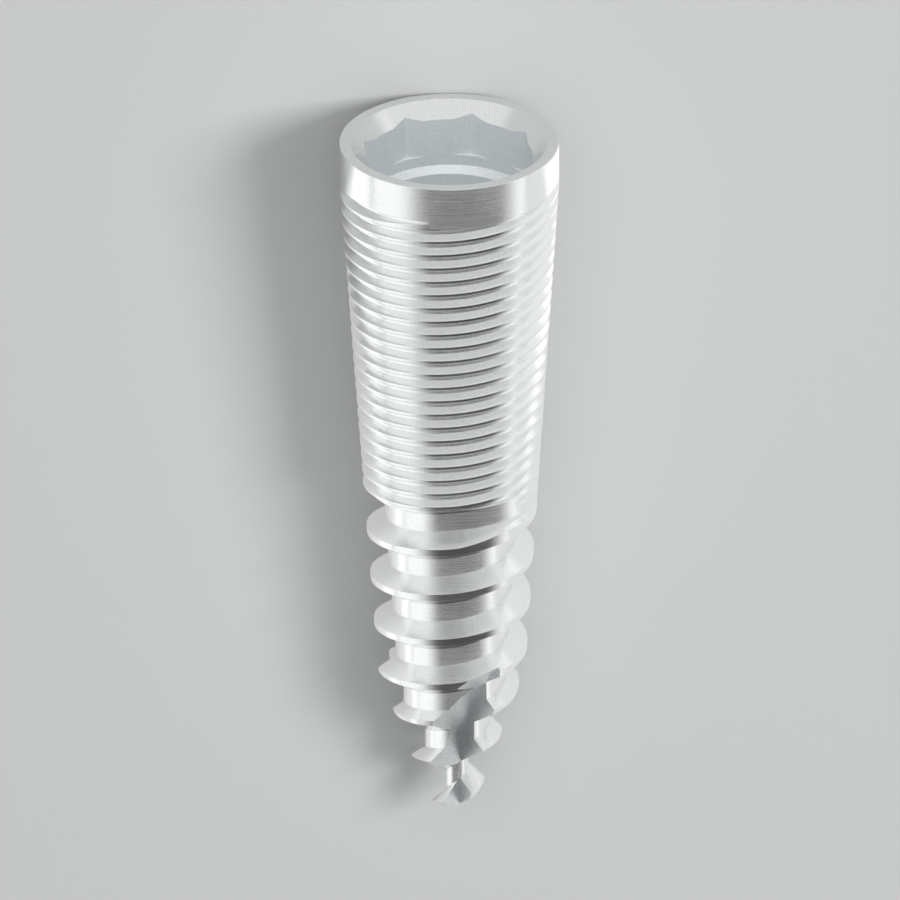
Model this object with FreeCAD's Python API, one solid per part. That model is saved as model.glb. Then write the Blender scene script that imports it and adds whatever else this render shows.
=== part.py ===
import FreeCAD, Part
import math
import os

# Tapered bone-level dental implant, turned and milled from one piece of titanium.
# It is modelled upright, with the platform at z = 0 and the tip at negative z, and then laid on its side.
# Depths run down from the platform. Azimuths run from the -Y side towards +X. All sizes are in mm and degrees.

# Outside form
body_length = 15.04
platform_radius = 2.25
collar_length = 0.93
body_taper = 3.81
tip_cone_length = 3.09
tip_cone_angle = 18.6
tip_rounding = 0.45

# Micro thread under the collar: three starts, right-hand
micro_starts = 3
micro_pitch = 0.313
micro_depth = 0.15
micro_flank = 38.0
micro_start_azimuth = -10.5
micro_start_depth = 0.77
micro_end_depth = 8.20
micro_runout_angle = 40.0

# Coarse thread: one start, right-hand, cut with a flat-nosed tool that stays parallel to the axis
thread_pitch = 1.056
thread_depth = 0.40
thread_root_width = 0.39
thread_flank = 33.0
thread_start_azimuth = 80.0
thread_start_depth = 7.77
thread_runout_angle = 74.0
root_cone_length = 2.80
root_cone_angle = 22.8
least_root_radius = 0.10
least_crest_width = 0.03

# Cutting flutes at the tip
flute_count = 3
flute_azimuth = 40.0
flute_floor = 0.235
flute_cutter_radius = 4.8
flute_straight_length = 0.36

# Abutment socket
rim_width = 0.23
bevel_angle = 45.0
socket_sides = 8
socket_flat_radius = 1.675
socket_depth = 1.13
socket_corner_azimuth = 30.0
bore_radius = 1.70
bore_depth = 1.355
seat_depth = 1.485
seat_radius = 1.54
chamber_depth = 1.95
channel_radius = 1.05
shoulder_angle = 30.0
channel_depth = 3.60

# Tapped hole for the abutment screw, at its minor diameter
screw_hole_radius = 0.80
screw_hole_depth = 7.20
drill_point_angle = 118.0

# How far the cutters stand proud of what they cut, and how finely a helix and its shoulders are worked out
cutter_margin = 0.03
cheek_reach = 0.10
stations_per_turn = 12
shoulder_passes = 8


def slope(degrees):
    return math.tan(math.radians(degrees))


tip_cone_depth = body_length - tip_cone_length
tip_cone_radius = platform_radius - (tip_cone_depth - collar_length) * slope(body_taper)
tip_radius = tip_cone_radius - tip_cone_length * slope(tip_cone_angle)
root_cone_depth = body_length - root_cone_length
root_cone_radius = tip_cone_radius + (tip_cone_depth - root_cone_depth) * slope(body_taper) - thread_depth


def crest_radius(depth):
    """Radius of the blank, on which the thread crests lie."""
    if depth <= collar_length:
        return platform_radius
    if depth <= tip_cone_depth:
        return platform_radius - (depth - collar_length) * slope(body_taper)
    return tip_cone_radius - (depth - tip_cone_depth) * slope(tip_cone_angle)


def thread_root_radius(depth):
    """Radius of the core of the coarse thread, which tapers faster than the crests near the tip."""
    if depth <= root_cone_depth:
        return root_cone_radius + (root_cone_depth - depth) * slope(body_taper)
    core = root_cone_radius - (depth - root_cone_depth) * slope(root_cone_angle)
    return max(core, least_root_radius)


def micro_root_radius(depth):
    return crest_radius(depth) - micro_depth


def around(radius, azimuth, depth):
    """The point at a radius and a depth, at an azimuth from the -Y side towards +X."""
    angle = math.radians(azimuth)
    return FreeCAD.Vector(radius * math.sin(angle), -radius * math.cos(angle), -depth)


def revolved(profile):
    """A solid turned about the axis from (radius, depth) corners."""
    corners = [FreeCAD.Vector(radius, 0, -depth) for radius, depth in profile + profile[:1]]
    face = Part.Face(Part.makePolygon(corners))
    return face.revolve(FreeCAD.Vector(0, 0, 0), FreeCAD.Vector(0, 0, 1), 360)


def blank():
    """The turned body before any cut, with the corner between its tip cone and its flat end rounded."""
    turned = revolved([
        (0, 0),
        (platform_radius, 0),
        (platform_radius, collar_length),
        (tip_cone_radius, tip_cone_depth),
        (tip_radius, body_length),
        (0, body_length),
    ])
    end_edges = [edge for edge in turned.Edges if abs(edge.BoundBox.ZMax + body_length) < cutter_margin]
    return turned.makeFillet(tip_rounding, end_edges)


def groove_section(depth, engagement, root_radius, root_width, flank, widest):
    """Corners (radius, depth) round a groove cutter: nose, lower cheek and upper cheek.

    The engagement runs from 0, clear of the blank, to 1, down at the root. Each flank leaves the blank
    at a shoulder, and from there the cutter's cheek runs straight out, so that its turns stay apart.
    """
    half_nose = root_width / 2
    clear = crest_radius(depth - half_nose) + cutter_margin
    nose = clear - engagement * (clear - root_radius(depth))
    cheeks = []
    for side in (1, -1):
        half = half_nose
        for _ in range(shoulder_passes):
            shoulder = max(crest_radius(depth + side * half) + cutter_margin, nose) + cutter_margin
            half = min(half_nose + (shoulder - nose) * slope(flank), widest / 2)
        cheeks.append([(shoulder, depth + side * half), (shoulder + cheek_reach, depth + side * half)])
    lower, upper = cheeks
    around_cheeks = lower + upper[::-1]
    if root_width:
        return [(nose, depth - half_nose), (nose, depth + half_nose)] + around_cheeks
    return [(nose, depth)] + around_cheeks


def groove_cutter(azimuth, depth, end_depth, lead, root_radius, root_width, flank, widest, runout, leaves):
    """A solid that follows a right-hand helix down the body and bites in over the run-out angle.

    Where it leaves, it also backs out again over the same angle.
    """
    count = round((end_depth - depth) / lead * stations_per_turn)
    step = 360 / stations_per_turn
    rows = []
    for station in range(count + 1):
        turned = station * step
        engagement = min(1, turned / runout)
        if leaves:
            engagement = min(engagement, (count - station) * step / runout)
        here = depth + lead * turned / 360
        section = groove_section(here, engagement, root_radius, root_width, flank, widest)
        rows.append([around(radius, azimuth - turned, level) for radius, level in section])
    sides = len(rows[0])
    curves = []
    for corner in range(sides):
        curve = Part.BSplineCurve()
        knots = [float(station) for station in range(count + 1)]
        curve.interpolate(Points=[row[corner] for row in rows], Parameters=knots)
        curves.append(curve)
    faces = []
    for first in range(0, count, stations_per_turn):
        last = min(first + stations_per_turn, count)
        edges = []
        for curve in curves:
            turn = curve.copy()
            turn.segment(float(first), float(last))
            edges.append(turn.toShape())
        faces += [Part.makeRuledSurface(edges[side], edges[(side + 1) % sides]) for side in range(sides)]
    for end in (rows[0], rows[-1]):
        faces.append(Part.Face(Part.makePolygon(end + end[:1])))
    shell = Part.makeShell(faces)
    shell.sewShape()
    solid = Part.makeSolid(shell)
    if solid.Volume < 0:
        solid.reverse()
    return solid


def micro_cutters():
    lead = micro_pitch * micro_starts
    return [
        groove_cutter(
            micro_start_azimuth + start * 360 / micro_starts,
            micro_start_depth,
            micro_end_depth,
            lead,
            micro_root_radius,
            0,
            micro_flank,
            micro_pitch,
            micro_runout_angle,
            True,
        )
        for start in range(micro_starts)
    ]


def thread_cutter():
    beyond_tip = body_length + thread_pitch / 2
    return groove_cutter(
        thread_start_azimuth,
        thread_start_depth,
        beyond_tip,
        thread_pitch,
        thread_root_radius,
        thread_root_width,
        thread_flank,
        thread_pitch - least_crest_width,
        thread_runout_angle,
        False,
    )


def flute_cutter(azimuth):
    """A side mill's cut: a radial wall at the azimuth, and a floor across it that curves out at the top."""
    reach = platform_radius + cutter_margin
    rise = math.sqrt(flute_cutter_radius**2 - (flute_cutter_radius + flute_floor - reach)**2)
    middle = math.asin(rise / flute_cutter_radius) / 2
    end = FreeCAD.Vector(flute_floor, 0, -body_length - cutter_margin)
    start = FreeCAD.Vector(flute_floor, 0, end.z + cutter_margin + flute_straight_length)
    swing = flute_floor + flute_cutter_radius * (1 - math.cos(middle))
    bow = FreeCAD.Vector(swing, 0, start.z + flute_cutter_radius * math.sin(middle))
    top = FreeCAD.Vector(reach, 0, start.z + rise)
    corner = FreeCAD.Vector(reach, 0, end.z)
    edges = [
        Part.makeLine(end, start),
        Part.Arc(start, bow, top).toShape(),
        Part.makeLine(top, corner),
        Part.makeLine(corner, end),
    ]
    prism = Part.Face(Part.Wire(edges)).extrude(FreeCAD.Vector(0, -reach, 0))
    prism.rotate(FreeCAD.Vector(0, 0, 0), FreeCAD.Vector(0, 0, 1), azimuth - 90)
    return prism


def socket_cutter():
    """Bevelled mouth, octagonal pocket, round bore with a conical seat, screw channel and tapped hole."""
    bevel_radius = platform_radius - rim_width
    bevel_depth = (bevel_radius - bore_radius) * slope(bevel_angle)
    shoulder_depth = chamber_depth + (seat_radius - channel_radius) * slope(shoulder_angle)
    hole_mouth = channel_depth + (channel_radius - screw_hole_radius) * slope(shoulder_angle)
    point = screw_hole_depth + screw_hole_radius / slope(drill_point_angle / 2)
    turned = revolved([
        (0, -cutter_margin),
        (bevel_radius + cutter_margin / slope(bevel_angle), -cutter_margin),
        (bore_radius, bevel_depth),
        (bore_radius, bore_depth),
        (seat_radius, seat_depth),
        (seat_radius, chamber_depth),
        (channel_radius, shoulder_depth),
        (channel_radius, channel_depth),
        (screw_hole_radius, hole_mouth),
        (screw_hole_radius, screw_hole_depth),
        (0, point),
    ])
    corner_radius = socket_flat_radius / math.cos(math.pi / socket_sides)
    corners = []
    for side in range(socket_sides + 1):
        azimuth = socket_corner_azimuth + 90 + side * 360 / socket_sides
        corners.append(around(corner_radius, azimuth, socket_depth))
    pocket = Part.Face(Part.makePolygon(corners)).extrude(FreeCAD.Vector(0, 0, socket_depth + cutter_margin))
    return turned, pocket


def implant_body():
    body = blank()
    for cutter in micro_cutters():
        body = body.cut(cutter)
    body = body.cut(thread_cutter())
    for flute in range(flute_count):
        body = body.cut(flute_cutter(flute_azimuth + flute * 360 / flute_count))
    for cutter in socket_cutter():
        body = body.cut(cutter)
    return body


def laid_down(body):
    """Lay the body on its taper, head towards +Y, with the -Y side up and the box's bottom centre at the origin."""
    lean = math.radians(body_taper)
    body.rotate(FreeCAD.Vector(0, 0, 0), FreeCAD.Vector(1, 0, 0), body_taper - 90)
    box = body.optimalBoundingBox(True, False)
    lowest = platform_radius * math.cos(lean) + collar_length * math.sin(lean)
    body.translate(FreeCAD.Vector(0, -(box.YMin + box.YMax) / 2, lowest))
    return body


os.makedirs("parts", exist_ok=True)
laid_down(implant_body()).exportStep("parts/implant_body.step")
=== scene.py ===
import math

import bpy
import numpy as np
from mathutils import Matrix, Vector


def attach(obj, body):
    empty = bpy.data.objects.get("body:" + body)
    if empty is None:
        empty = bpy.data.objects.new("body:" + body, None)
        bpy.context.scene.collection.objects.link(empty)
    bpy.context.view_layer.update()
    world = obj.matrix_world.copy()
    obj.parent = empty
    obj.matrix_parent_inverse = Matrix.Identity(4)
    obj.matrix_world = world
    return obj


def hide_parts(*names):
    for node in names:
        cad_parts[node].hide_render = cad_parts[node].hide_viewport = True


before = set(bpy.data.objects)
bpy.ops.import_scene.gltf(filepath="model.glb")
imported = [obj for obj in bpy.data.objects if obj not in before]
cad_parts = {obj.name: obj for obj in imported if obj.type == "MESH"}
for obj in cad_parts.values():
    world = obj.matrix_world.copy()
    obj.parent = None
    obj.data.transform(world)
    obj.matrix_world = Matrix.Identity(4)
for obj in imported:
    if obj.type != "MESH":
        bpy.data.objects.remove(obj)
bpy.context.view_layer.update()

# The implant is described upright: depths in mm run down from the platform, and azimuths in degrees
# run from the front towards the right. It then lies on its taper, with its front up.
MM = 0.001
BODY_LENGTH = 15.04
PLATFORM_RADIUS = 2.25
COLLAR_LENGTH = 0.93
BODY_TAPER = math.tan(math.radians(3.81))
TIP_CONE_DEPTH = 11.95
TIP_CONE_SLOPE = math.tan(math.radians(18.6))
TIP_CONE_RADIUS = PLATFORM_RADIUS - (TIP_CONE_DEPTH - COLLAR_LENGTH) * BODY_TAPER
TIP_ROUNDING = 0.45
ROOT_CONE_DEPTH = 12.24
ROOT_CONE_SLOPE = math.tan(math.radians(22.8))
LEAST_ROOT_RADIUS = 0.10
THREAD_DEPTH = 0.40

MICRO = dict(starts=3, lead=0.939, azimuth=-10.5, depth=0.77, end=8.20, runout=40.0,
             root_width=0.045, flank=35.7, cut=0.149, leaves=True)
COARSE = dict(starts=1, lead=1.056, azimuth=80.0, depth=7.77, end=15.568, runout=74.0,
              root_width=0.3925, flank=33.0, cut=THREAD_DEPTH, leaves=False)

FLUTE_AZIMUTHS = (40.0, 160.0, 280.0)
FLUTE_FLOOR = 0.235
FLUTE_RADIUS = 4.8
FLUTE_CENTRE_DEPTH = 14.68
FLUTE_TOP_DEPTH = 10.6
FLUTE_SWEEP = 88
FLUTE_STEP = 0.10

RIM_INNER_RADIUS = 2.02
SOCKET_SIDES = 8
SOCKET_FLAT_RADIUS = 1.675
SOCKET_DEPTH = 1.13
SOCKET_CORNER_AZIMUTH = 30.0
BORE_RADIUS = 1.70
BORE_DEPTH = 1.355
SEAT_DEPTH = 1.485
SEAT_RADIUS = 1.54
CHAMBER_DEPTH = 1.95
CHANNEL_RADIUS = 1.05
SHOULDER_SLOPE = math.tan(math.radians(30.0))
CHANNEL_DEPTH = 3.60
SCREW_MINOR_RADIUS = 0.80
SCREW_MAJOR_RADIUS = 1.00
SCREW_PITCH = 0.40
SCREW_DEPTH = 7.20
SCREW_HALF_MOUTH = 0.15
SCREW_HALF_ROOT = 0.03
SCREW_FAINT_HEIGHT = 0.35
DRILL_POINT_SLOPE = math.tan(math.radians(59.0))

# How the mesh is worked out: columns round the axis in degrees, lengths in mm
COLUMN_STEP = 1.0
SCREW_COLUMN_STEP = 5.0
EDGE_BREAK = 0.008
SUPPORT = 0.03
GROOVE_REACH = 0.8
ROUNDING_STEPS = 12
SHARP = 20.0
SAME = 1e-6
PARALLEL = 1e-9
ON_ENVELOPE = 1e-5
DOUBLED = 2e-4
IN_LINE = 4e-6
WELD = 2e-5
ON_FLOOR = 0.006
ON_WALL = 0.003


def blank_radius(depth):
    cone = PLATFORM_RADIUS - np.clip(depth - COLLAR_LENGTH, 0, TIP_CONE_DEPTH - COLLAR_LENGTH) * BODY_TAPER
    return cone - np.maximum(depth - TIP_CONE_DEPTH, 0) * TIP_CONE_SLOPE


def coarse_root(depth):
    core = TIP_CONE_RADIUS + (TIP_CONE_DEPTH - ROOT_CONE_DEPTH) * BODY_TAPER - THREAD_DEPTH
    core += max(ROOT_CONE_DEPTH - depth, 0) * BODY_TAPER - max(depth - ROOT_CONE_DEPTH, 0) * ROOT_CONE_SLOPE
    return max(core, LEAST_ROOT_RADIUS)


def micro_root(depth):
    return blank_radius(depth) - MICRO["cut"]


def groove_strokes(azimuth, groove, root):
    """Each pass of a helical groove through one column, as (depth, radius) points along its two flanks."""
    strokes = []
    total = (groove["end"] - groove["depth"]) / groove["lead"] * 360
    slope = math.tan(math.radians(groove["flank"]))
    half = groove["root_width"] / 2
    for start in range(groove["starts"]):
        turned = (groove["azimuth"] + start * 360 / groove["starts"] - azimuth) % 360
        while turned <= total:
            engagement = min(1, turned / groove["runout"])
            if groove["leaves"]:
                engagement = min(engagement, (total - turned) / groove["runout"])
            centre = groove["depth"] + groove["lead"] * turned / 360
            top = blank_radius(centre)
            nose = top - engagement * (top - root(centre))
            strokes.append([
                (centre - half - GROOVE_REACH * slope, nose + GROOVE_REACH),
                (centre - half, nose),
                (centre + half, nose),
                (centre + half + GROOVE_REACH * slope, nose + GROOVE_REACH),
            ])
            turned += 360
    return strokes


def flute_strokes(azimuth, after_wall):
    """The floors of the flutes that this column crosses.

    A wall's own azimuth is in the flute before it only.
    """
    strokes = []
    for wall in FLUTE_AZIMUTHS:
        behind = (wall - azimuth) % 360
        if behind < SAME and after_wall:
            continue
        if behind > FLUTE_SWEEP:
            continue
        depths = np.arange(BODY_LENGTH, FLUTE_TOP_DEPTH, -FLUTE_STEP)[::-1]
        strokes.append(list(zip(depths, flute_floor(depths) / math.cos(math.radians(behind)))))
    return strokes


def flute_floor(depths):
    rise = np.clip((FLUTE_CENTRE_DEPTH - depths) / FLUTE_RADIUS, 0, 1)
    return FLUTE_FLOOR + FLUTE_RADIUS * (1 - np.sqrt(1 - rise**2))


def on_flute(points, triangles):
    """For each triangle, whether a flute's cutter ground it: its middle lies on a flute's wall or floor."""
    middles = np.array(points)[np.array(triangles)].mean(axis=1)
    ground = np.zeros(len(middles), dtype=bool)
    floor = flute_floor(-middles[:, 2])
    for wall in FLUTE_AZIMUTHS:
        angle = math.radians(wall)
        out = middles[:, 0] * math.sin(angle) - middles[:, 1] * math.cos(angle)
        side = middles[:, 0] * math.cos(angle) + middles[:, 1] * math.sin(angle)
        on_floor = (abs(out - floor) < ON_FLOOR) & (side < ON_FLOOR)
        on_wall = (abs(side) < ON_WALL) & (out > floor - ON_FLOOR)
        ground |= (on_floor | on_wall) & (middles[:, 2] < -FLUTE_TOP_DEPTH)
    return ground


def lower_envelope(strokes):
    """The lowest radius at each depth over all strokes, as exact corner points."""
    d0, r0, d1, r1 = (np.array(v) for v in zip(*[(*p, *q) for s in strokes for p, q in zip(s, s[1:])]))
    grade = (r1 - r0) / (d1 - d0)
    i, j = np.triu_indices(len(d0), 1)
    near = (d0[i] < d1[j]) & (d0[j] < d1[i]) & (np.abs(grade[i] - grade[j]) > PARALLEL)
    i, j = i[near], j[near]
    cross = (r0[j] - r0[i] + grade[i] * d0[i] - grade[j] * d0[j]) / (grade[i] - grade[j])
    inside = (cross >= np.maximum(d0[i], d0[j])) & (cross <= np.minimum(d1[i], d1[j]))
    i, cross = i[inside], cross[inside]
    depths = np.concatenate([d0, d1, cross])
    radii = np.concatenate([r0, r1, r0[i] + grade[i] * (cross - d0[i])])
    keep = (depths >= 0) & (depths <= BODY_LENGTH + SAME)
    depths, radii = depths[keep], radii[keep]
    over = (depths[:, None] >= d0 - SAME) & (depths[:, None] <= d1 + SAME)
    lines = np.where(over, r0 + grade * (depths[:, None] - d0), np.inf)
    lowest = lines.min(axis=1)
    keep = radii <= lowest + ON_ENVELOPE
    return tidied(sorted(zip(depths[keep], radii[keep])))


def tidied(points):
    """Points with doubles and points in line with their neighbours taken out."""
    kept = []
    for p in points:
        if kept and abs(p[0] - kept[-1][0]) < DOUBLED and abs(p[1] - kept[-1][1]) < DOUBLED:
            continue
        kept.append(p)
    out = kept[:1]
    for here, after in zip(kept[1:], kept[2:]):
        before = out[-1]
        area = (here[0] - before[0]) * (after[1] - before[1]) - (here[1] - before[1]) * (after[0] - before[0])
        if abs(area) > IN_LINE:
            out.append(here)
    return out + kept[-1:]


def rounded_end():
    """The rounding between the tip cone and the flat end, as (depth, radius) points."""
    angle = math.atan(TIP_CONE_SLOPE)
    end_radius = TIP_CONE_RADIUS - (BODY_LENGTH - TIP_CONE_DEPTH) * TIP_CONE_SLOPE
    centre_radius = end_radius - TIP_ROUNDING * math.tan((math.pi / 2 - angle) / 2)
    points = []
    for step in range(ROUNDING_STEPS + 1):
        turn = angle + (math.pi / 2 - angle) * step / ROUNDING_STEPS
        depth = BODY_LENGTH - TIP_ROUNDING * (1 - math.sin(turn))
        points.append((depth, centre_radius + TIP_ROUNDING * math.cos(turn)))
    return points


def outside_column(azimuth, after_wall):
    """From the platform's outer edge down to the end, as (depth, radius).

    A support point just above the first groove keeps the collar's shading straight.
    """
    blank = [
        (0, PLATFORM_RADIUS - EDGE_BREAK),
        (EDGE_BREAK, PLATFORM_RADIUS),
        (COLLAR_LENGTH, PLATFORM_RADIUS),
        (TIP_CONE_DEPTH, TIP_CONE_RADIUS),
    ]
    strokes = [blank + rounded_end()]
    strokes += groove_strokes(azimuth, MICRO, micro_root)
    strokes += groove_strokes(azimuth, COARSE, coarse_root)
    strokes += flute_strokes(azimuth, after_wall)
    column = lower_envelope(strokes)
    shoulder = next(k for k, (depth, _) in enumerate(column) if depth > COLLAR_LENGTH / 2)
    column.insert(shoulder, (column[shoulder][0] - SUPPORT, PLATFORM_RADIUS))
    return column


def socket_column(azimuth):
    """From the platform's outer edge over the rim and down the socket, as (depth, radius)."""
    sector = 360 / SOCKET_SIDES
    off_flat = (azimuth - SOCKET_CORNER_AZIMUTH) % sector - sector / 2
    wall = max(SOCKET_FLAT_RADIUS / math.cos(math.radians(off_flat)), BORE_RADIUS)
    shoulder = CHAMBER_DEPTH + (SEAT_RADIUS - CHANNEL_RADIUS) * SHOULDER_SLOPE
    return [
        (0, RIM_INNER_RADIUS),
        (RIM_INNER_RADIUS - wall, wall),
        (SOCKET_DEPTH, wall),
        (SOCKET_DEPTH, BORE_RADIUS),
        (BORE_DEPTH, BORE_RADIUS),
        (SEAT_DEPTH, SEAT_RADIUS),
        (CHAMBER_DEPTH, SEAT_RADIUS),
        (shoulder, CHANNEL_RADIUS),
        (CHANNEL_DEPTH, CHANNEL_RADIUS),
    ]


def screw_column(azimuth):
    """The tapped hole below the channel, with its right-hand thread, as (depth, radius)."""
    mouth = CHANNEL_DEPTH + (CHANNEL_RADIUS - SCREW_MINOR_RADIUS) * SHOULDER_SLOPE
    points = [(CHANNEL_DEPTH, CHANNEL_RADIUS), (mouth, SCREW_MINOR_RADIUS)]
    turns = int((SCREW_DEPTH - mouth) / SCREW_PITCH)
    for turn in range(turns):
        centre = mouth + SCREW_PITCH * (turn + 0.5 + ((-azimuth) % 360) / 720)
        height = SCREW_FAINT_HEIGHT if turn in (0, turns - 1) else 1.0
        crest = SCREW_MINOR_RADIUS + height * (SCREW_MAJOR_RADIUS - SCREW_MINOR_RADIUS)
        points += [
            (centre - SCREW_HALF_MOUTH, SCREW_MINOR_RADIUS),
            (centre - SCREW_HALF_ROOT, crest),
            (centre + SCREW_HALF_ROOT, crest),
            (centre + SCREW_HALF_MOUTH, SCREW_MINOR_RADIUS),
        ]
    points.append((SCREW_DEPTH, SCREW_MINOR_RADIUS))
    points.append((SCREW_DEPTH + SCREW_MINOR_RADIUS / DRILL_POINT_SLOPE, 0))
    return points


def upright(azimuth, depth, radius):
    angle = math.radians(azimuth)
    return (radius * math.sin(angle), -radius * math.cos(angle), -depth)


def zipped(a, b, first_a, first_b):
    """Triangles between two columns of points, always across the shorter diagonal."""
    triangles = []
    i = j = 0
    while i < len(a) - 1 or j < len(b) - 1:
        down_a = math.dist(a[i + 1], b[j]) if i < len(a) - 1 else math.inf
        down_b = math.dist(a[i], b[j + 1]) if j < len(b) - 1 else math.inf
        if down_a <= down_b:
            triangles.append((first_a + i, first_a + i + 1, first_b + j))
            i += 1
        else:
            triangles.append((first_a + i, first_b + j + 1, first_b + j))
            j += 1
    return triangles


def surface(columns):
    """Vertices and triangles of the skin through (azimuth, points) columns that go once round."""
    points, triangles, first = [], [], []
    for azimuth, column in columns:
        first.append(len(points))
        points += [upright(azimuth, depth, radius) for depth, radius in column]
    for k, (_, column) in enumerate(columns):
        after = (k + 1) % len(columns)
        triangles += zipped(column, columns[after][1], first[k], first[after])
    return points, triangles


def mesh_object(name, points, triangles, materials, slots):
    """A mesh in the row frame, with doubled points and empty triangles taken out."""
    points = np.array(points)
    triangles = np.array(triangles)
    keys, back = np.unique(np.round(points / WELD).astype(np.int64), axis=0, return_inverse=True)
    back = back.reshape(-1)
    place = np.zeros((len(keys), 3))
    place[back] = points
    triangles = back[triangles]
    a, b, c = triangles.T
    whole = (a != b) & (b != c) & (c != a)
    triangles = triangles[whole]
    laid = np.array([LYING @ Vector(p) for p in place])
    mesh = bpy.data.meshes.new(name)
    mesh.from_pydata(laid.tolist(), [], triangles.tolist())
    for material in materials:
        mesh.materials.append(material)
    mesh.polygons.foreach_set("material_index", np.array(slots)[whole].astype(np.int32))
    mesh.shade_smooth()
    mesh.set_sharp_from_angle(angle=math.radians(SHARP))
    piece = bpy.data.objects.new(name, mesh)
    bpy.context.collection.objects.link(piece)
    return piece


# The implant lies on its taper, and HEAD_Y puts the middle of its length over the origin
LEAN = math.atan(BODY_TAPER)
REST_HEIGHT = PLATFORM_RADIUS * math.cos(LEAN) + COLLAR_LENGTH * math.sin(LEAN)
HEAD_Y = 7.434204
LYING = (
    Matrix.Scale(MM, 4)
    @ Matrix.Translation((0, HEAD_Y, REST_HEIGHT))
    @ Matrix.Rotation(LEAN - math.pi / 2, 4, "X")
)


# Titanium

# Texture scales are per metre
MARKS_SCALE = (300, 300, 30000)
CLOUD_SCALE = 900.0
FINE_SCALE = 45000.0
SPECKLE_SCALE = 24000.0
CLOUD_RANGE = (0.35, 0.65)
SPECKLE_RANGE = (0.38, 0.62)
POLISH_SPREAD = 0.03
MARK_HEIGHT = 0.000004


def node(tree, kind, **inputs):
    made = tree.nodes.new(kind)
    for name, value in inputs.items():
        made.inputs[name.replace("_", " ")].default_value = value
    return made


def titanium(name, colour, metallic, roughness, grain, speckle):
    """Machined titanium: fine turning marks round the axis, a soft variation in its polish and a speckle."""
    material = bpy.data.materials.new(name)
    material.use_nodes = True
    tree = material.node_tree
    link = tree.links.new
    shader = tree.nodes["Principled BSDF"]
    shader.inputs["Metallic"].default_value = metallic
    where = tree.nodes.new("ShaderNodeTexCoord")
    stand = tree.nodes.new("ShaderNodeMapping")
    stand.vector_type = "POINT"
    stand.inputs["Rotation"].default_value = (math.pi / 2 - LEAN, 0, 0)
    link(where.outputs["Object"], stand.inputs["Vector"])
    marks_scale = tree.nodes.new("ShaderNodeMapping")
    marks_scale.inputs["Scale"].default_value = MARKS_SCALE
    link(stand.outputs["Vector"], marks_scale.inputs["Vector"])
    marks = node(tree, "ShaderNodeTexNoise", Scale=1.0, Detail=3.0, Roughness=0.6)
    link(marks_scale.outputs["Vector"], marks.inputs["Vector"])
    cloud = node(tree, "ShaderNodeTexNoise", Scale=CLOUD_SCALE, Detail=4.0, Roughness=0.55)
    link(stand.outputs["Vector"], cloud.inputs["Vector"])
    fine = node(tree, "ShaderNodeTexNoise", Scale=FINE_SCALE, Detail=2.0, Roughness=0.6)
    link(stand.outputs["Vector"], fine.inputs["Vector"])
    polish = tree.nodes.new("ShaderNodeMapRange")
    polish.inputs["From Min"].default_value, polish.inputs["From Max"].default_value = CLOUD_RANGE
    polish.inputs["To Min"].default_value = roughness - POLISH_SPREAD
    polish.inputs["To Max"].default_value = roughness + POLISH_SPREAD
    link(cloud.outputs["Fac"], polish.inputs["Value"])
    link(polish.outputs["Result"], shader.inputs["Roughness"])
    grit = node(tree, "ShaderNodeTexNoise", Scale=SPECKLE_SCALE, Detail=2.0, Roughness=0.7)
    link(stand.outputs["Vector"], grit.inputs["Vector"])
    tone = tree.nodes.new("ShaderNodeValToRGB")
    dark, light = tone.color_ramp.elements
    dark.position, light.position = SPECKLE_RANGE
    dark.color = (*(part * (1 - speckle) for part in colour), 1)
    light.color = (*(min(part * (1 + speckle), 1) for part in colour), 1)
    link(grit.outputs["Fac"], tone.inputs["Fac"])
    link(tone.outputs["Color"], shader.inputs["Base Color"])
    height = tree.nodes.new("ShaderNodeMath")
    height.operation = "ADD"
    link(marks.outputs["Fac"], height.inputs[0])
    link(fine.outputs["Fac"], height.inputs[1])
    bump = node(tree, "ShaderNodeBump", Strength=grain, Distance=MARK_HEIGHT)
    link(height.outputs["Value"], bump.inputs["Height"])
    link(bump.outputs["Normal"], shader.inputs["Normal"])
    return material


body_titanium = titanium("satin_titanium", (0.84, 0.85, 0.84), 1.0, 0.20, 0.20, 0.03)
flute_titanium = titanium("ground_titanium", (0.70, 0.71, 0.72), 1.0, 0.36, 1.0, 0.12)
socket_titanium = titanium("socket_titanium", (0.84, 0.87, 0.885), 0.3, 0.45, 0.25, 0.05)


# The implant, and the tapped hole deep in its socket

def in_socket(points, triangles):
    """For each triangle, whether it lies below the bevel."""
    levels = np.array(points)[:, 2]
    bevel_foot = -(RIM_INNER_RADIUS - SOCKET_FLAT_RADIUS) - SAME
    return [min(levels[list(t)]) < bevel_foot for t in triangles]


BODY_SLOT, SOCKET_SLOT, FLUTE_SLOT = 0, 1, 2

azimuths = []
for k in range(int(360 / COLUMN_STEP)):
    azimuth = k * COLUMN_STEP
    if any(abs(azimuth - wall) < SAME for wall in FLUTE_AZIMUTHS):
        azimuths.append((azimuth, False))
    azimuths.append((azimuth, True))
outside = [(azimuth, outside_column(azimuth, after)) for azimuth, after in azimuths]
skin_points, skin_triangles = surface(outside)
inside = [(azimuth, socket_column(azimuth)[::-1] + [column[0]]) for azimuth, column in outside]
socket_points, socket_triangles = surface(inside)
offset = len(skin_points)
last = offset + len(socket_points)
end_centre = (0, 0, -BODY_LENGTH)
ends = (np.cumsum([len(column) for _, column in outside]) - 1).tolist()
cap = [(ends[k], last, ends[(k + 1) % len(ends)]) for k in range(len(ends))]
points = skin_points + socket_points + [end_centre]
triangles = skin_triangles + [tuple(v + offset for v in t) for t in socket_triangles] + cap
slots = [FLUTE_SLOT if ground else BODY_SLOT for ground in on_flute(skin_points, skin_triangles)]
slots += [SOCKET_SLOT if low else BODY_SLOT for low in in_socket(socket_points, socket_triangles)]
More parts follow.
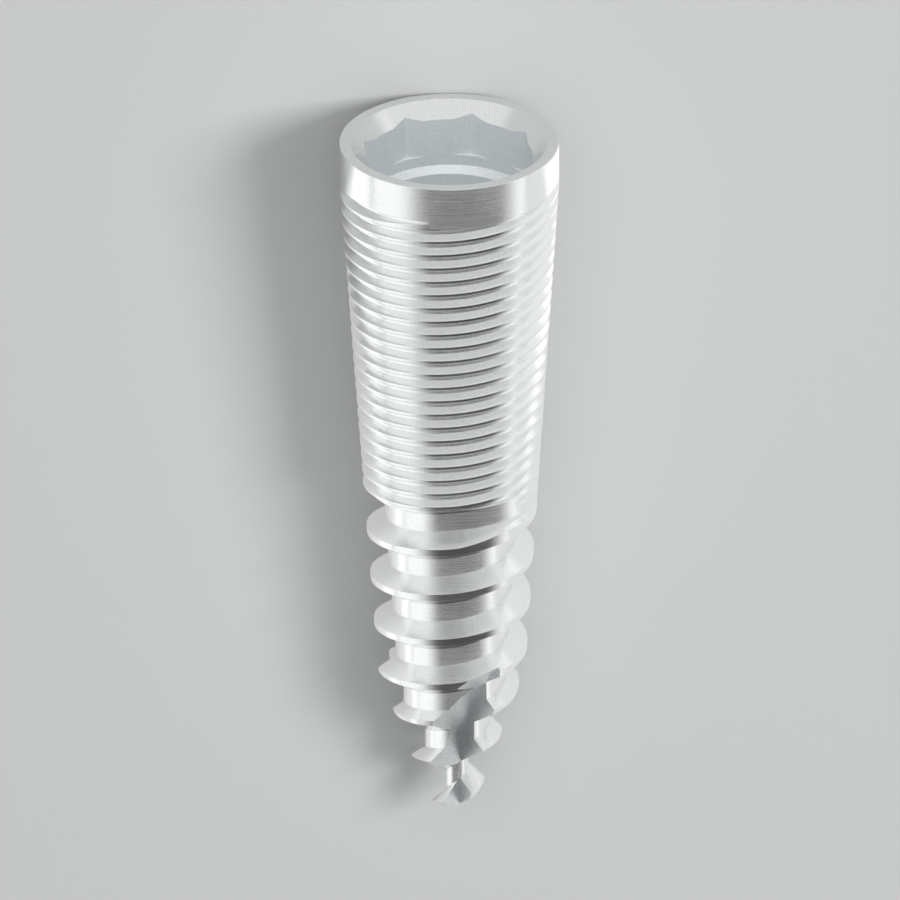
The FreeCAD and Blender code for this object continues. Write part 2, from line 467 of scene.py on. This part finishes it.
slots += [BODY_SLOT] * len(cap)
implant = mesh_object("implant", points, triangles, [body_titanium, socket_titanium, flute_titanium], slots)

screw_azimuths = [k * SCREW_COLUMN_STEP for k in range(int(360 / SCREW_COLUMN_STEP))]
screw_columns = [(azimuth, screw_column(azimuth)) for azimuth in screw_azimuths]
screw_points, screw_triangles = surface(screw_columns)
screw_triangles = [t[::-1] for t in screw_triangles]
screw_slots = [0] * len(screw_triangles)
screw_hole = mesh_object("screw_hole", screw_points, screw_triangles, [socket_titanium], screw_slots)

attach(implant, "root")
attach(screw_hole, "root")
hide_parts("implant_body")


# Camera: it looks down on the upright implant's front, with no perspective

VIEW_SINE = 0.4405
VIEW_COSINE = 0.8977
VIEW_ROLL = 0.0047
PX_PER_MM = 48.82
IMAGE_SIZE = 900
RIM_PIXEL = (449.2, 141.8)
CAMERA_DISTANCE = 0.15


def laid_direction(vector):
    return (Matrix.Rotation(LEAN - math.pi / 2, 3, "X") @ Vector(vector)).normalized()


towards = laid_direction((0, -VIEW_COSINE, VIEW_SINE))
image_up = laid_direction((0, VIEW_SINE, VIEW_COSINE))
up = (image_up + VIEW_ROLL * Vector((1, 0, 0))).normalized()
right = up.cross(towards).normalized()
rim_centre = LYING @ Vector((0, 0, 0))
across, down = ((IMAGE_SIZE / 2 - pixel) / PX_PER_MM * MM for pixel in RIM_PIXEL)
aim = rim_centre - up * down + right * across
camera_data = bpy.data.cameras.new("camera")
camera_data.type = "ORTHO"
camera_data.ortho_scale = IMAGE_SIZE / PX_PER_MM * MM
camera_data.clip_start = 0.001
camera_data.clip_end = 2.0
camera = bpy.data.objects.new("camera", camera_data)
bpy.context.collection.objects.link(camera)
turn = Matrix((right, up, towards)).transposed().to_4x4()
camera.matrix_world = Matrix.Translation(aim + towards * CAMERA_DISTANCE) @ turn
bpy.context.scene.camera = camera


# Floor and lights

HALF_FLOOR = 0.6
floor_mesh = bpy.data.meshes.new("floor")
floor_corners = [(x * HALF_FLOOR, y * HALF_FLOOR, 0) for x, y in ((-1, -1), (1, -1), (1, 1), (-1, 1))]
floor_mesh.from_pydata(floor_corners, [], [(0, 1, 2, 3)])
floor = bpy.data.objects.new("floor", floor_mesh)
bpy.context.collection.objects.link(floor)
floor_material = bpy.data.materials.new("floor")
floor_material.use_nodes = True
floor_shader = floor_material.node_tree.nodes["Principled BSDF"]
floor_shader.inputs["Base Color"].default_value = (0.66, 0.67, 0.67, 1)
floor_shader.inputs["Roughness"].default_value = 0.8
floor_mesh.materials.append(floor_material)


CARD_HEIGHT = 0.00002
LIGHT_DISTANCE = 0.35
ROOM = 0.06
# Each screen: its direction, the cosines at which it is fully lit and dark, and its strength
SCREENS = (
    ((0.0, 1.0, 0.0), -0.43, -0.48, 0.84),
    ((-1.0, -0.15, 0.0), 0.82, 0.38, 1.15),
    ((1.0, -0.15, -0.30), 0.90, 0.60, 1.15),
)
METAL = (implant, screw_hole)


def softbox(name, direction, distance, width, height, radiance):
    """A rectangular light that faces the implant from a direction in the row frame, in metres.

    A glossy surface doesn't mirror it.
    """
    data = bpy.data.lights.new(name, "AREA")
    data.shape = "RECTANGLE"
    data.size = width
    data.size_y = height
    data.energy = radiance * math.pi * width * height
    light = bpy.data.objects.new(name, data)
    bpy.context.collection.objects.link(light)
    direction = Vector(direction).normalized()
    light.location = direction * distance
    light.rotation_mode = "QUATERNION"
    light.rotation_quaternion = (-direction).to_track_quat("-Z", "Y")
    light.visible_glossy = False
    return light


def screen(tree, direction, lit, dark, strength):
    """A soft lit screen in the sky round a direction; lit and dark are cosines of the angle to it."""
    where = tree.nodes.new("ShaderNodeTexCoord")
    dot = tree.nodes.new("ShaderNodeVectorMath")
    dot.operation = "DOT_PRODUCT"
    dot.inputs[1].default_value = Vector(direction).normalized()
    tree.links.new(where.outputs["Generated"], dot.inputs[0])
    ease = tree.nodes.new("ShaderNodeMapRange")
    ease.interpolation_type = "SMOOTHSTEP"
    ease.inputs["From Min"].default_value = dark
    ease.inputs["From Max"].default_value = lit
    ease.inputs["To Min"].default_value = ROOM
    ease.inputs["To Max"].default_value = strength
    tree.links.new(dot.outputs["Value"], ease.inputs["Value"])
    return ease.outputs["Result"]


def studio():
    """A dim room with soft screens: overhead and past the head, to the left, and low to the right."""
    world = bpy.data.worlds.new("studio")
    world.use_nodes = True
    tree = world.node_tree
    background = tree.nodes["Background"]
    brightest = None
    for direction, lit, dark, strength in SCREENS:
        light = screen(tree, direction, lit, dark, strength)
        if brightest:
            either = tree.nodes.new("ShaderNodeMath")
            either.operation = "MAXIMUM"
            tree.links.new(brightest, either.inputs[0])
            tree.links.new(light, either.inputs[1])
            light = either.outputs["Value"]
        brightest = light
    tree.links.new(brightest, background.inputs["Strength"])
    background.inputs["Color"].default_value = (0.99, 1.0, 1.0, 1)
    bpy.context.scene.world = world


def lights_only(light, pieces):
    """Keep a light to some pieces, and out of sight."""
    lit = bpy.data.collections.new(light.name + "_lights")
    for piece in pieces:
        lit.objects.link(piece)
    light.light_linking.receiver_collection = lit
    light.visible_camera = False


def floor_card(name, x0, x1, y0, y1, radiance):
    """A lit card that lies beside the implant, and that only its metal mirrors."""
    card = softbox(name, (0, 0, 1), CARD_HEIGHT, x1 - x0, y1 - y0, radiance)
    card.location.x = (x0 + x1) / 2
    card.location.y = (y0 + y1) / 2
    card.rotation_quaternion = Matrix.Rotation(math.pi, 3, "X").to_quaternion()
    card.visible_glossy = True
    lights_only(card, METAL)


studio()
bpy.context.scene.world.cycles_visibility.diffuse = False
key = softbox("key", (0.60, 0.25, 0.75), LIGHT_DISTANCE, 0.12, 0.12, 15.0)
lights_only(key, (floor,))
softbox("overhead", (0.0, 0.2, 1.0), LIGHT_DISTANCE, 0.50, 0.50, 1.15)
fill = softbox("fill", (0.05, 1.0, 0.34), LIGHT_DISTANCE, 0.20, 0.16, 4.8)
lights_only(fill, METAL)
floor_card("left_card", -0.060, -0.0060, -0.040, 0.0046, 0.62)
floor_card("left_near_card", -0.0060, -0.0010, -0.0100, 0.0050, 0.30)
floor_card("right_card", 0.0010, 0.060, -0.040, 0.0042, 0.24)
floor_card("right_neck_card", 0.0024, 0.060, 0.0042, 0.0066, 0.60)
floor_card("right_head_card", 0.0030, 0.060, 0.0066, 0.060, 0.33)
bpy.context.scene.view_settings.view_transform = "Standard"
